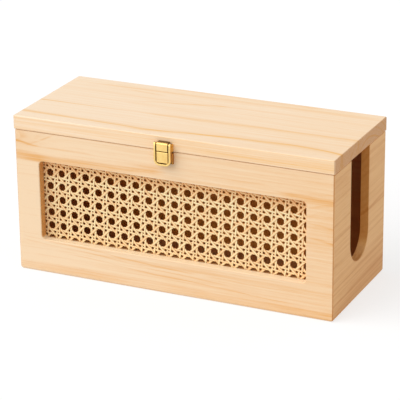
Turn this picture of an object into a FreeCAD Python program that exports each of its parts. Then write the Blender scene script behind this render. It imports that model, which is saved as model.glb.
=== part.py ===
import FreeCAD, Part
import math
import os
from FreeCAD import Vector

# A wooden box that hides a power strip: an open case of mitred boards with a cane window
# and a U slot in the right end, a hinged lid, and a brass flap latch at the front.
# Millimetres. X runs along the box, Y runs from front to back, Z is up.
# The origin is the middle of the underside.

# Case boards
case_length = 309.0
case_depth = 126.0
case_height = 136.0
wall = 8.0
floor_thickness = 6.0
corner_arris = 0.8
foot_round = 2.8
board_arris = 0.6

# Lid
lid_thickness = 13.0
lid_overhang = 0.7
lid_gap = 0.5
lid_round = 1.0

# Window in the front board, by what is left of the board round it
window_stile = 24.5
window_sill = 32.7
window_head = 27.5
window_shift = -1.0
window_corner = 4.0

# Cable slot in the right end board
slot_width = 45.0
slot_floor = 35.4
slot_arris = 0.4

# Cane webbing behind the window, and the battens that hold it
cane_thickness = 1.4
cane_margin = 8.0
cane_pitch_x = 12.6
cane_pitch_z = 12.8
cane_gap = 6.7
cane_shift_x = 0.3
cane_shift_z = -0.35
cane_selvedge = 0.6
batten_thickness = 3.0
batten_round = 0.8

# Butt hinges on the back
hinge_length = 26.0
hinge_inset = 42.0
leaf_height = 10.6
leaf_thickness = 1.0
leaf_corner = 1.2
knuckle_count = 3
knuckle_radius = 1.7
knuckle_stand = 0.2
knuckle_gap = 0.3
hinge_pin_radius = 0.8
hinge_pin_stand = 0.5
hinge_screw_end = 5.5
hinge_screw_edge = 4.0

# Countersunk screws of the hinges, their heads as deep as a leaf
screw_head_radius = 1.8
screw_shank_radius = 0.9
screw_length = 6.4

# Flap latch at the front
latch_shift = -3.9
latch_width = 16.0
plate_reach = 0.4
latch_base = 2.0
latch_base_bottom_gap = 0.5
flap_clearance = 0.15
ring_depth = 3.8
ring_rim = 1.6
ring_corner = 5.0
ring_drop = 19.5
arm_head_height = 3.8
arm_head_lean = 20.0
ring_eye = 1.5
pad_inset = 0.2
pad_groove = 1.0
pad_round = 0.5
web_thickness = 0.8
hood_groove = 1.2
hood_sheet = 1.0
hood_round = 0.3
hood_bottom_rise = 1.2
hood_split = 0.8
pivot_rise = 7.3
latch_pin_radius = 0.6
latch_pin_stand = 0.25
keeper_height = 10.6
keeper_round = 0.5
catch_radius = 1.3
catch_height = 0.25
catch_drop = 6.0
nail_width = 0.65
nail_head_radius = 0.8
nail_head_height = 0.25
nail_length = 7.0
nail_edge = 1.4

# Fits
running_fit = 0.05
side_play = 0.3
overrun = 1.0
coincidence = 0.001

# Planes and places that follow from the sizes above
case_front = -case_depth / 2
case_back = case_depth / 2
lid_bottom = case_height + lid_gap
lid_top = lid_bottom + lid_thickness
lid_front = case_front - lid_overhang
seam_height = case_height + lid_gap / 2
window_left = window_stile - case_length / 2 + window_shift
window_right = case_length / 2 - window_stile + window_shift
window_top = case_height - window_head
window_middle = (window_sill + window_top) / 2
cane_front = case_front + wall
batten_front = cane_front + cane_thickness
batten_back = batten_front + batten_thickness
hinge_axis_y = case_back + knuckle_stand + knuckle_radius
hinge_middles = {
    "left": -case_length / 2 + hinge_inset + hinge_length / 2,
    "right": case_length / 2 - hinge_inset - hinge_length / 2,
}
plate_half = latch_width / 2 + plate_reach
ring_back = latch_base + catch_height + flap_clearance
latch_front = ring_back + ring_depth
pivot_depth = latch_front - ring_depth / 2
pivot_z = lid_bottom + pivot_rise
arm_top = pivot_z - arm_head_height
ring_bottom = pivot_z - ring_drop
pad_front = latch_front - pad_inset
hood_bottom = lid_bottom + hood_bottom_rise
pad_top = hood_bottom - hood_split


# Small shape helpers

def block(low, high):
    """A box between two opposite corners."""
    size = high - low
    return Part.makeBox(size.x, size.y, size.z, low)


def rod(radius, start, end):
    """A cylinder between two points."""
    along = end - start
    return Part.makeCylinder(radius, along.Length, start, along)


def prism(points, along):
    """A flat outline of straight sides, pushed along a vector."""
    outline = Part.makePolygon(points + [points[0]])
    return Part.Face(outline).extrude(along)


def edges_where(shape, keep):
    """The edges whose ends and middle all pass a test."""
    found = []
    for edge in shape.Edges:
        middle = edge.valueAt((edge.FirstParameter + edge.LastParameter) / 2)
        points = [vertex.Point for vertex in edge.Vertexes] + [middle]
        if all(keep(point) for point in points):
            found.append(edge)
    return found


def near(value, target):
    """True where two coordinates are the same but for rounding."""
    return abs(value - target) < coincidence


def rounded_block(low, high, radius, heights):
    """A box whose edges along Y are rounded at the given heights."""
    shape = block(low, high)
    corners = edges_where(
        shape,
        lambda p: any(near(p.x, x) for x in (low.x, high.x)) and any(near(p.z, z) for z in heights),
    )
    return shape.makeFillet(radius, corners)


# Case boards

def case_block():
    """The outside of the case, its lower edges rounded and its other edges broken."""
    shape = block(
        Vector(-case_length / 2, case_front, 0),
        Vector(case_length / 2, case_back, case_height),
    )
    shape = shape.makeFillet(foot_round, edges_where(shape, lambda p: near(p.z, 0)))
    upright = edges_where(
        shape,
        lambda p: near(abs(p.x), case_length / 2) and near(abs(p.y), case_depth / 2),
    )
    shape = shape.makeChamfer(corner_arris, upright)
    rim = edges_where(shape, lambda p: near(p.z, case_height))
    return shape.makeChamfer(board_arris, rim)


def mitre_wedge(side):
    """The space in plan that one board takes, between the mitres at its two ends."""
    x = case_length / 2 + overrun
    y = case_depth / 2 + overrun
    inner_x = case_length / 2 - wall
    inner_y = case_depth / 2 - wall
    plans = {
        "front": [(-x, -y), (x, -y), (inner_x, -inner_y), (-inner_x, -inner_y)],
        "back": [(x, y), (-x, y), (-inner_x, inner_y), (inner_x, inner_y)],
        "left": [(-x, y), (-x, -y), (-inner_x, -inner_y), (-inner_x, inner_y)],
        "right": [(x, -y), (x, y), (inner_x, inner_y), (inner_x, -inner_y)],
    }
    points = [Vector(px, py, -overrun) for px, py in plans[side]]
    return prism(points, Vector(0, 0, case_height + 2 * overrun))


def front_panel():
    """The front board, with its window."""
    shape = case_block().common(mitre_wedge("front"))
    low = Vector(window_left, case_front - overrun, window_sill)
    high = Vector(window_right, cane_front + overrun, window_top)
    shape = shape.cut(rounded_block(low, high, window_corner, (low.z, high.z)))
    rim = edges_where(
        shape,
        lambda p: near(p.y, case_front)
        and low.x - overrun < p.x < high.x + overrun
        and low.z - overrun < p.z < high.z + overrun,
    )
    shape = shape.makeChamfer(board_arris, rim)
    nails = latch_nail_places(keeper_nail_height(), case_front)
    return shape.cut([nail_pilot(place) for place in nails])


def hinge_screw_places(middle, up):
    """Where the screws of one leaf pass through the back face."""
    offset = hinge_length / 2 - hinge_screw_end
    height = seam_height + up * (leaf_height - hinge_screw_edge)
    return [Vector(middle + side * offset, case_back, height) for side in (-1, 1)]


def screw_pilots(up):
    """The pilot holes of every leaf on one side of the seam."""
    holes = []
    for middle in hinge_middles.values():
        for place in hinge_screw_places(middle, up):
            start = place + Vector(0, overrun, 0)
            end = place - Vector(0, screw_length - leaf_thickness + running_fit, 0)
            holes.append(rod(screw_shank_radius + running_fit, start, end))
    return holes


def back_panel():
    """The back board, drilled for the hinge screws."""
    shape = case_block().common(mitre_wedge("back"))
    return shape.cut(screw_pilots(-1))


def left_panel():
    """The plain end board."""
    return case_block().common(mitre_wedge("left"))


def slot_cutter():
    """The U slot of the right end board, open at the top."""
    radius = slot_width / 2
    middle_z = slot_floor + radius
    x = case_length / 2 + overrun
    front_low = Vector(x, -radius, middle_z)
    back_low = Vector(x, radius, middle_z)
    bottom = Vector(x, 0, slot_floor)
    top = case_height + overrun
    edges = [
        Part.Arc(front_low, bottom, back_low).toShape(),
        Part.makeLine(back_low, Vector(x, radius, top)),
        Part.makeLine(Vector(x, radius, top), Vector(x, -radius, top)),
        Part.makeLine(Vector(x, -radius, top), front_low),
    ]
    return Part.Face(Part.Wire(edges)).extrude(Vector(-wall - 2 * overrun, 0, 0))


def right_panel():
    """The end board with the cable slot, the slot's outer edge broken."""
    shape = case_block().common(mitre_wedge("right"))
    shape = shape.cut(slot_cutter())
    rim = edges_where(
        shape,
        lambda p: near(p.x, case_length / 2)
        and abs(p.y) < slot_width / 2 + overrun
        and slot_floor - overrun < p.z < case_height - slot_arris,
    )
    return shape.makeChamfer(slot_arris, rim)


def bottom_board():
    """The floor, let in between the four boards and flush with their lower edges."""
    half_x = case_length / 2 - wall
    half_y = case_depth / 2 - wall
    return block(Vector(-half_x, -half_y, 0), Vector(half_x, half_y, floor_thickness))


# Cane webbing and battens

def cane_edges():
    """Left, right, low and high edge of the cane sheet."""
    left = window_left - cane_margin
    right = window_right + cane_margin
    return left, right, window_sill - cane_margin, window_top + cane_margin


def octagon(middle_x, middle_z, across, y):
    """An eight-sided hole with two upright, two level and four slanting sides, all alike."""
    half = across / 2
    side = half * (math.sqrt(2) - 1)
    offsets = [
        (half, -side),
        (half, side),
        (side, half),
        (-side, half),
        (-half, side),
        (-half, -side),
        (-side, -half),
        (side, -half),
    ]
    points = [Vector(middle_x + dx, y, middle_z + dz) for dx, dz in offsets]
    return Part.makePolygon(points + [points[0]])


def steps_between(middle, pitch, low, high):
    """Places a pitch apart, counted from a middle one, that lie between two limits."""
    first = math.ceil((low - middle) / pitch)
    last = math.floor((high - middle) / pitch)
    return [middle + pitch * count for count in range(first, last + 1)]


def cane_webbing():
    """The woven sheet: one plate with the large eight-sided gaps of the weave."""
    left, right, low, high = cane_edges()
    room = cane_gap / 2 + cane_selvedge
    columns = steps_between(cane_shift_x, cane_pitch_x, left + room, right - room)
    rows = steps_between(window_middle + cane_shift_z, cane_pitch_z, low + room, high - room)
    corners = [(left, low), (right, low), (right, high), (left, high)]
    points = [Vector(x, cane_front, z) for x, z in corners]
    wires = [Part.makePolygon(points + [points[0]])]
    for x in columns:
        for z in rows:
            wires.append(octagon(x, z, cane_gap, cane_front))
    sheet = Part.Face(wires, "Part::FaceMakerBullseye")
    return sheet.extrude(Vector(0, cane_thickness, 0))


def cane_battens():
    """Four flat strips that press the edge of the cane to the front board."""
    left, right, low, high = cane_edges()
    spans = {
        "cane_batten_top": (left, right, high - cane_margin, high),
        "cane_batten_bottom": (left, right, low, low + cane_margin),
        "cane_batten_left": (left, left + cane_margin, low + cane_margin, high - cane_margin),
        "cane_batten_right": (right - cane_margin, right, low + cane_margin, high - cane_margin),
    }
    made = {}
    for name, (x0, x1, z0, z1) in spans.items():
        strip = block(Vector(x0, batten_front, z0), Vector(x1, batten_back, z1))
        rim = edges_where(strip, lambda p: near(p.y, batten_back))
        made[name] = strip.makeChamfer(batten_round, rim)
    return made


# Lid

def lid_board():
    """The solid lid, a little larger than the case at the front and the ends."""
    half_x = case_length / 2 + lid_overhang
    lid_half_y = (case_back - lid_front) / 2
    lid_middle = lid_front + lid_half_y
    shape = block(Vector(-half_x, lid_front, lid_bottom), Vector(half_x, case_back, lid_top))
    upright = edges_where(
        shape, lambda p: near(abs(p.x), half_x) and near(abs(p.y - lid_middle), lid_half_y)
    )
    shape = shape.makeChamfer(corner_arris, upright)
    shape = shape.makeFillet(lid_round, edges_where(shape, lambda p: near(p.z, lid_top)))
    rim = edges_where(shape, lambda p: near(p.z, lid_bottom))
    shape = shape.makeChamfer(board_arris, rim)
    holes = screw_pilots(1)
    for place in latch_nail_places(lid_nail_height(), lid_front):
        holes.append(nail_pilot(place))
    return shape.cut(holes)


# Butt hinges

def knuckle_spans(middle, part):
    """The stretches of knuckle along X that one leaf carries."""
    length = (hinge_length - (knuckle_count - 1) * knuckle_gap) / knuckle_count
    first = 0 if part == "case" else 1
    spans = []
    for index in range(first, knuckle_count, 2):
        start = middle - hinge_length / 2 + index * (length + knuckle_gap)
        spans.append((start, start + length))
    return spans


def screw_head(place, room):
    """The cone of a screw's head, or with some room the hole for it, through a leaf."""
    outside = place + Vector(0, leaf_thickness, 0)
    inward = Vector(0, -1, 0)
    return Part.makeCone(screw_head_radius + room, screw_shank_radius + room, leaf_thickness, outside, inward)


def hinge_leaf(middle, part):
    """One leaf: a plate, its knuckles and its two countersunk holes."""
    up = -1 if part == "case" else 1
    near_edge = seam_height + up * (knuckle_radius + side_play)
    far_edge = seam_height + up * leaf_height
    low, high = sorted((near_edge, far_edge))
    half = hinge_length / 2
    plate = block(
        Vector(middle - half, case_back, low),
        Vector(middle + half, case_back + leaf_thickness, high),
    )
    corners = edges_where(plate, lambda p: near(abs(p.x - middle), half) and near(p.z, far_edge))
    plate = plate.makeFillet(leaf_corner, corners)
    solids = []
    for start, end in knuckle_spans(middle, part):
        barrel = rod(
            knuckle_radius,
            Vector(start, hinge_axis_y, seam_height),
            Vector(end, hinge_axis_y, seam_height),
        )
        inner, outside = sorted((seam_height, near_edge + up * overrun))
        tab = block(
            Vector(start, case_back, inner),
            Vector(end, case_back + leaf_thickness, outside),
        )
        solids.extend([barrel, tab])
    shape = plate.fuse(solids)
    bore = rod(
        hinge_pin_radius + running_fit,
        Vector(middle - half - overrun, hinge_axis_y, seam_height),
        Vector(middle + half + overrun, hinge_axis_y, seam_height),
    )
    cutters = [bore]
    for place in hinge_screw_places(middle, up):
        cutters.append(screw_head(place, running_fit))
    return shape.cut(cutters).removeSplitter()


def long_pin(radius, half, middle):
    """A pin along X, between two ends as far from its middle."""
    reach = Vector(half, 0, 0)
    return rod(radius, middle - reach, middle + reach)


def hinge_pin(middle):
    """The pin of one hinge, its ends just outside the knuckles."""
    place = Vector(middle, hinge_axis_y, seam_height)
    return long_pin(hinge_pin_radius, hinge_length / 2 + hinge_pin_stand, place)


def countersunk_screw(place):
    """A screw along -Y whose head fills the leaf."""
    shank = rod(screw_shank_radius, place, place - Vector(0, screw_length - leaf_thickness, 0))
    return screw_head(place, 0).fuse(shank).removeSplitter()


def hinge_screws(up):
    """Every screw on one side of the seam."""
    screws = []
    for middle in hinge_middles.values():
        for place in hinge_screw_places(middle, up):
            screws.append(countersunk_screw(place))
    return Part.makeCompound(screws)


# Flap latch: a plate on the lid, a flap that swings on it, and a keeper on the case

def latch_point(across, out, height):
    """A point from its place across the latch, its distance out from the lid's front, and its height."""
    return Vector(latch_shift + across, lid_front - out, height)


def lid_nail_height():
    """How high the nails of the latch's lid plate sit: halfway up the plate."""
    return (lid_bottom + latch_base_bottom_gap + pivot_z) / 2


def keeper_nail_height():
    """How high the nails of the keeper sit: halfway up the plate."""
    return case_height - keeper_height / 2


def latch_nail_places(height, face_y):
    """The two nail places of one latch plate, on the face that carries it."""
    offset = plate_half - nail_edge
    return [Vector(latch_shift + side * offset, face_y, height) for side in (-1, 1)]


def nail_bore():
    """The radius of the hole that a square nail needs."""
    return nail_width / math.sqrt(2) + running_fit


def nail_pilot(place):
    """The hole in the wood for one nail."""
    depth = nail_length - latch_base + running_fit
    start = place - Vector(0, overrun, 0)
    return rod(nail_bore(), start, place + Vector(0, depth, 0))


def nail(place, front_y):
    """A cut nail along +Y: a round head on a plate's front, and a square shank."""
    head_back = Vector(place.x, front_y, place.z)
    head = rod(nail_head_radius, head_back - Vector(0, nail_head_height, 0), head_back)
    half = Vector(nail_width / 2, 0, nail_width / 2)
    tip = place + Vector(0, nail_length - latch_base, 0)
    return head.fuse(block(head_back - half, tip + half)).removeSplitter()


def nail_hole(place, front_y):
    """The hole for one nail through a latch plate."""
    start = Vector(place.x, front_y - overrun, place.z)
    return rod(nail_bore(), start, place + Vector(0, overrun, 0))


def latch_lid_plate():
    """The plate on the lid: a base, and a hood that folds over the pin and hangs down in front."""
    base = block(
        latch_point(-plate_half, latch_base, lid_bottom + latch_base_bottom_gap),
        latch_point(plate_half, 0, pivot_z),
    )
    half = latch_width / 2 - ring_rim - hood_groove
    roll_radius = pad_front - pivot_depth
    roll = rod(roll_radius, latch_point(-half, pivot_depth, pivot_z), latch_point(half, pivot_depth, pivot_z))
    bridge = block(
        latch_point(-half, pivot_depth, pivot_z + roll_radius - hood_sheet),
        latch_point(half, 0, pivot_z + roll_radius),
    )
    back_leaf = block(
        latch_point(-half, hood_sheet, pivot_z - overrun),
        latch_point(half, 0, pivot_z + roll_radius),
    )
    front_leaf = block(
        latch_point(-half, pad_front, hood_bottom),
        latch_point(half, pad_front - hood_sheet, pivot_z),
    )
    shape = base.fuse([roll, bridge, back_leaf, front_leaf])
    cutters = [
        rod(
            latch_pin_radius + running_fit,
            latch_point(-latch_width, pivot_depth, pivot_z),
            latch_point(latch_width, pivot_depth, pivot_z),
        )
    ]
    front_y = lid_front - latch_base
    for place in latch_nail_places(lid_nail_height(), lid_front):
        cutters.append(nail_hole(place, front_y))
    shape = shape.cut(cutters).removeSplitter()
    lip = edges_where(shape, lambda p: near(p.y, lid_front - pad_front) and near(p.z, hood_bottom))
    return shape.makeFillet(hood_round, lip)


def flap_slab(inset, back, front, top):
    """A slab of the flap's outline, square above and round below, drawn in by an inset."""
    half = latch_width / 2 - inset
    low = latch_point(-half, front, ring_bottom + inset)
    high = latch_point(half, back, top)
    return rounded_block(low, high, ring_corner - inset, (low.z,))


def arm_head(side):
    """The top of one arm: it draws in from the arm's depth to the round eye on the pin."""
    outer = latch_width / 2
    x = side * outer
    inward = Vector(-side * ring_rim, 0, 0)
    lean = math.radians(arm_head_lean)
    reach = ring_eye * math.cos(lean)
    shoulder = pivot_z + ring_eye * math.sin(lean)
    front = latch_point(x, pivot_depth + reach, shoulder)
    back = latch_point(x, pivot_depth - reach, shoulder)
    top = latch_point(x, pivot_depth, pivot_z + ring_eye)
    low_back = latch_point(x, ring_back, arm_top)
    low_front = latch_point(x, latch_front, arm_top)
    edges = [
        Part.makeLine(low_back, low_front),
        Part.makeLine(low_front, front),
        Part.Arc(front, top, back).toShape(),
        Part.makeLine(back, low_back),
    ]
    return Part.Face(Part.Wire(edges)).extrude(inward)


def latch_flap():
    """The flap: a deep U rim round a raised pad, joined by a thin web at the back."""
    outer = flap_slab(0, ring_back, latch_front, arm_top)
    inner = flap_slab(ring_rim, ring_back - overrun, latch_front + overrun, arm_top + overrun)
    ring = outer.cut(inner)
    web = flap_slab(ring_rim / 2, ring_back, ring_back + web_thickness, pad_top)
    pad_inward = ring_rim + pad_groove
    half = latch_width / 2 - pad_inward
    pad = block(
        latch_point(-half, pad_front, ring_bottom + pad_inward),
        latch_point(half, ring_back, pad_top),
    )
    pad_rim = edges_where(pad, lambda p: near(p.y, lid_front - pad_front))
    pad = pad.makeFillet(pad_round, pad_rim)
    shape = ring.fuse([web, pad, arm_head(-1), arm_head(1)])
    bore = rod(
        latch_pin_radius + running_fit,
        latch_point(-latch_width, pivot_depth, pivot_z),
        latch_point(latch_width, pivot_depth, pivot_z),
    )
    return shape.cut(bore).removeSplitter()


def latch_pin():
    """The pin that the flap swings on."""
    half = latch_width / 2 + latch_pin_stand
    return long_pin(latch_pin_radius, half, latch_point(0, pivot_depth, pivot_z))


def latch_keeper():
    """The plate on the case behind the flap, with a round catch that the flap slips over."""
    plate = block(
        Vector(latch_shift - plate_half, lid_front - latch_base, case_height - keeper_height),
        Vector(latch_shift + plate_half, case_front, case_height - keeper_round),
    )
    front_y = lid_front - latch_base
    rim = edges_where(plate, lambda p: near(p.y, front_y))
    plate = plate.makeFillet(keeper_round, rim)
    ball_radius = (catch_radius ** 2 + catch_height ** 2) / (2 * catch_height)
    middle = Vector(latch_shift, front_y - catch_height + ball_radius, case_height - catch_drop)
    catch = Part.makeSphere(ball_radius, middle)
    slab = block(
        Vector(latch_shift - ball_radius, front_y - catch_height, middle.z - ball_radius),
        Vector(latch_shift + ball_radius, front_y + catch_height, middle.z + ball_radius),
    )
    shape = plate.fuse(catch.common(slab))
    holes = [nail_hole(place, front_y) for place in latch_nail_places(keeper_nail_height(), case_front)]
    return shape.cut(holes).removeSplitter()


def latch_nails(height, face_y):
    """The two nails of one latch plate."""
    front_y = lid_front - latch_base
    return Part.makeCompound([nail(place, front_y) for place in latch_nail_places(height, face_y)])


def build():
    """Every piece by name."""
    pieces = {
        "front_panel": front_panel(),
        "back_panel": back_panel(),
        "left_side_panel": left_panel(),
        "right_side_panel": right_panel(),
        "bottom_board": bottom_board(),
        "cane_webbing": cane_webbing(),
        "lid_board": lid_board(),
        "hinge_case_screws": hinge_screws(-1),
        "hinge_lid_screws": hinge_screws(1),
        "latch_lid_plate": latch_lid_plate(),
        "latch_flap": latch_flap(),
        "latch_pin": latch_pin(),
        "latch_keeper": latch_keeper(),
        "latch_lid_nails": latch_nails(lid_nail_height(), lid_front),
        "latch_keeper_nails": latch_nails(keeper_nail_height(), case_front),
    }
    for side, middle in hinge_middles.items():
        pieces[side + "_hinge_case_leaf"] = hinge_leaf(middle, "case")
        pieces[side + "_hinge_lid_leaf"] = hinge_leaf(middle, "lid")
        pieces[side + "_hinge_pin"] = hinge_pin(middle)
    pieces.update(cane_battens())
    return pieces


os.makedirs("parts", exist_ok=True)
for name, shape in build().items():
    volume = sum(solid.Volume for solid in shape.Solids)
    print(name, "solids", len(shape.Solids), "valid", shape.isValid(), "mm3", round(volume, 1))
    shape.exportStep(os.path.join("parts", name + ".step"))
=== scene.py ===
import math

import bmesh
import bpy
from mathutils import Matrix, Vector


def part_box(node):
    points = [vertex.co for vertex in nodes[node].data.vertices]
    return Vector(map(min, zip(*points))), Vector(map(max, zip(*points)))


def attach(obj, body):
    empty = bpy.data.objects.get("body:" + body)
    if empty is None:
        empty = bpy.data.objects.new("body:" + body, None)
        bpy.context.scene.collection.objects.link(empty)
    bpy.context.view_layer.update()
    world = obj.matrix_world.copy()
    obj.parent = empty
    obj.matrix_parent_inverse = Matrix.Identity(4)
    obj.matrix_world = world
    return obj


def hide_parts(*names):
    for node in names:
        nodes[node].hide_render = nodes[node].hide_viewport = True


# A pine cable box with a cane window, a hinged lid and a brass flap latch.
# Lengths are metres. X runs along the box, Y from front to back, Z is up.

mm = 0.001
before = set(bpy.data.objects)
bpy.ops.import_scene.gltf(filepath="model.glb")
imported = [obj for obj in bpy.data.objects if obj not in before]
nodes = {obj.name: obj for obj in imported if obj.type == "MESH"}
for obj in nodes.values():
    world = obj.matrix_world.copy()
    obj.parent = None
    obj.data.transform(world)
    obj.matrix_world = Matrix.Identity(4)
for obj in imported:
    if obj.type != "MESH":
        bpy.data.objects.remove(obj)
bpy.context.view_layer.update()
print("packed model loaded")


def plug(tree, source, socket):
    if isinstance(source, bpy.types.NodeSocket):
        tree.links.new(source, socket)
    else:
        socket.default_value = source


def fill(tree, sockets, values):
    for key, value in values.items():
        plug(tree, value, sockets[key])


def addNode(tree, kind, values, **settings):
    node = tree.nodes.new(kind)
    for key, value in settings.items():
        setattr(node, key, value)
    fill(tree, node.inputs, values)
    return node


def calc(tree, operation, *values):
    return addNode(tree, "ShaderNodeMath", dict(enumerate(values)), operation=operation).outputs[0]


def times(tree, *values):
    product = values[0]
    for value in values[1:]:
        product = calc(tree, "MULTIPLY", product, value)
    return product


def timesPlus(tree, value, factor, added):
    return calc(tree, "MULTIPLY_ADD", value, factor, added)


def plus(tree, first, second):
    return calc(tree, "ADD", first, second)


def minus(tree, first, second):
    return calc(tree, "SUBTRACT", first, second)


def vectorOf(tree, x, y, z):
    return addNode(tree, "ShaderNodeCombineXYZ", {0: x, 1: y, 2: z}).outputs[0]


def partsOf(tree, vector):
    return addNode(tree, "ShaderNodeSeparateXYZ", {0: vector}).outputs


def ease(tree, value, low, high, toLow=0.0, toHigh=1.0):
    # goes smoothly from one number to another while the value goes from low to high
    ends = {"Value": value, "From Min": low, "From Max": high, "To Min": toLow, "To Max": toHigh}
    return addNode(tree, "ShaderNodeMapRange", ends, interpolation_type="SMOOTHSTEP").outputs["Result"]


def clamped(tree, value):
    return addNode(tree, "ShaderNodeClamp", {"Value": value}).outputs[0]


def noiseOf(tree, vector, detail=2.0, roughness=0.5, scale=1.0):
    values = {"Vector": vector, "Scale": scale, "Detail": detail, "Roughness": roughness}
    return addNode(tree, "ShaderNodeTexNoise", values).outputs["Fac"]


def stretched(tree, parts, along, across, shift=0.0):
    # board coordinates, counted along the grain and across it at their own rates
    rates = (along, across, across)
    return vectorOf(tree, *[timesPlus(tree, part, rate, shift) for part, rate in zip(parts, rates)])


def mixColour(tree, share, first, second, blend="MIX"):
    # inputs 6 and 7 and output 2 are the node's colours
    values = {0: share, 6: first, 7: second}
    return addNode(tree, "ShaderNodeMix", values, data_type="RGBA", blend_type=blend).outputs[2]


def kindOf(value):
    # a text is itself the kind of an input that starts empty
    if isinstance(value, str):
        return value
    if isinstance(value, tuple):
        return "Vector" if len(value) == 3 else "Color"
    return "Int" if isinstance(value, int) else "Float"


def newTree(name, treeKind, inputs, outputs):
    tree = bpy.data.node_groups.new(name, treeKind)
    for label, value in inputs.items():
        kind = "NodeSocket" + kindOf(value)
        socket = tree.interface.new_socket(label, in_out="INPUT", socket_type=kind)
        if not isinstance(value, str):
            socket.default_value = value
    for label, kind in outputs.items():
        tree.interface.new_socket(label, in_out="OUTPUT", socket_type="NodeSocket" + kind)
    return tree, tree.nodes.new("NodeGroupInput").outputs, tree.nodes.new("NodeGroupOutput").inputs


def useGroup(tree, group, **values):
    return addNode(tree, "ShaderNodeGroup", values, node_tree=group).outputs


def fillInputs(modifier, values):
    for socket in modifier.node_group.interface.items_tree:
        if socket.name in values:
            modifier[socket.identifier] = values[socket.name]


def srgb(red, green, blue):
    def linear(level):
        level = level / 255
        return level / 12.92 if level <= 0.04045 else ((level + 0.055) / 1.055) ** 2.4
    return (linear(red), linear(green), linear(blue), 1.0)


def newMaterial(name):
    material = bpy.data.materials.new(name)
    material.use_nodes = True
    tree = material.node_tree
    return material, tree, tree.nodes["Principled BSDF"].inputs


def bumpOf(tree, height, strength, distance):
    values = {"Height": height, "Strength": strength, "Distance": distance}
    return addNode(tree, "ShaderNodeBump", values).outputs[0]


def dress(target, material):
    target.data.materials.clear()
    target.data.materials.append(material)
    for face in target.data.polygons:
        face.material_index = 0


def meshFrom(shape, name):
    mesh = bpy.data.meshes.new(name)
    shape.to_mesh(mesh)
    shape.free()
    return mesh


def newPiece(name, data):
    piece = bpy.data.objects.new(name, data)
    bpy.context.scene.collection.objects.link(piece)
    return piece


def settle(piece):
    # turns what the modifiers make into the piece's own plain mesh
    bpy.context.view_layer.update()
    depsgraph = bpy.context.evaluated_depsgraph_get()
    mesh = bpy.data.meshes.new_from_object(piece.evaluated_get(depsgraph))
    piece.modifiers.clear()
    piece.data = mesh
    return piece


view = {
    "lens": 186.14, "sensor": 36, "farthest": 50, "place": (0.7433, -1.5908, 0.7433),
    "down": 21.022, "left": 25.054, "roll": -0.697,        # degrees
}


def makeCamera():
    down = math.radians(view["down"])
    left = math.radians(view["left"])
    roll = math.radians(view["roll"])
    ahead = Vector((-math.sin(left) * math.cos(down), math.cos(left) * math.cos(down), -math.sin(down)))
    side = Vector((math.cos(left), math.sin(left), 0))
    up = side.cross(ahead)
    rolledSide = side * math.cos(roll) + up * math.sin(roll)
    rolledUp = up * math.cos(roll) - side * math.sin(roll)
    data = bpy.data.cameras.new("camera")
    data.lens = view["lens"]
    data.sensor_width = view["sensor"]
    data.clip_end = view["farthest"]
    camera = newPiece("camera", data)
    turn = Matrix((rolledSide, rolledUp, -ahead)).transposed()
    camera.matrix_world = Matrix.Translation(view["place"]) @ turn.to_4x4()
    bpy.context.scene.camera = camera


makeCamera()
print("camera set")


studio = {
    "floorSize": 12.0,
    "floorColour": (0.36, 0.36, 0.36, 1),
    "floorRoughness": 0.9,
    "floorLift": 0.67,         # white added where the floor is seen
    "floorBounce": 0.55,       # share of that white which lights the box from below
    "skyLevel": 0.55,
    "sunLevel": 2.0,
    "sunSpread": 65.0,
    "sunFrom": (-0.50, -0.56, 0.66),
}
white = (1, 1, 1, 1)
squareCorners = ((-1, -1), (1, -1), (1, 1), (-1, 1))


def seenRay(tree):
    # 1 for rays that show the background itself, in view, in polish or through glass
    path = tree.nodes.new("ShaderNodeLightPath").outputs
    seen = calc(tree, "MAXIMUM", path["Is Camera Ray"], path["Is Glossy Ray"])
    return calc(tree, "MAXIMUM", seen, path["Is Transmission Ray"])


def makeFloor():
    half = studio["floorSize"] / 2
    shape = bmesh.new()
    shape.faces.new([shape.verts.new((x * half, y * half, 0)) for x, y in squareCorners])
    floor = newPiece("studioFloor", meshFrom(shape, "studioFloor"))
    material, tree, shader = newMaterial("floorPaper")
    bounce = studio["floorBounce"]
    fill(tree, shader, {
        "Base Color": studio["floorColour"], "Roughness": studio["floorRoughness"], "Specular IOR Level": 0.0,
        "Emission Color": mixColour(tree, seenRay(tree), (bounce, bounce, bounce, 1), white),
        "Emission Strength": studio["floorLift"],
    })
    dress(floor, material)


def makeLight():
    world = bpy.data.worlds.new("studioSky")
    world.use_nodes = True
    tree = world.node_tree
    sky = studio["skyLevel"]
    level = timesPlus(tree, seenRay(tree), 1 - sky, sky)
    fill(tree, tree.nodes["Background"].inputs, {"Color": white, "Strength": level})
    bpy.context.scene.world = world
    lamp = bpy.data.lights.new("windowLight", "SUN")
    lamp.energy = studio["sunLevel"]
    lamp.angle = math.radians(studio["sunSpread"])
    sun = newPiece("windowLight", lamp)
    sun.matrix_world = Vector(studio["sunFrom"]).to_track_quat("Z", "Y").to_matrix().to_4x4()
    bpy.context.scene.view_settings.view_transform = "Standard"


makeFloor()
makeLight()
print("floor and lamps set")


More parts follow.
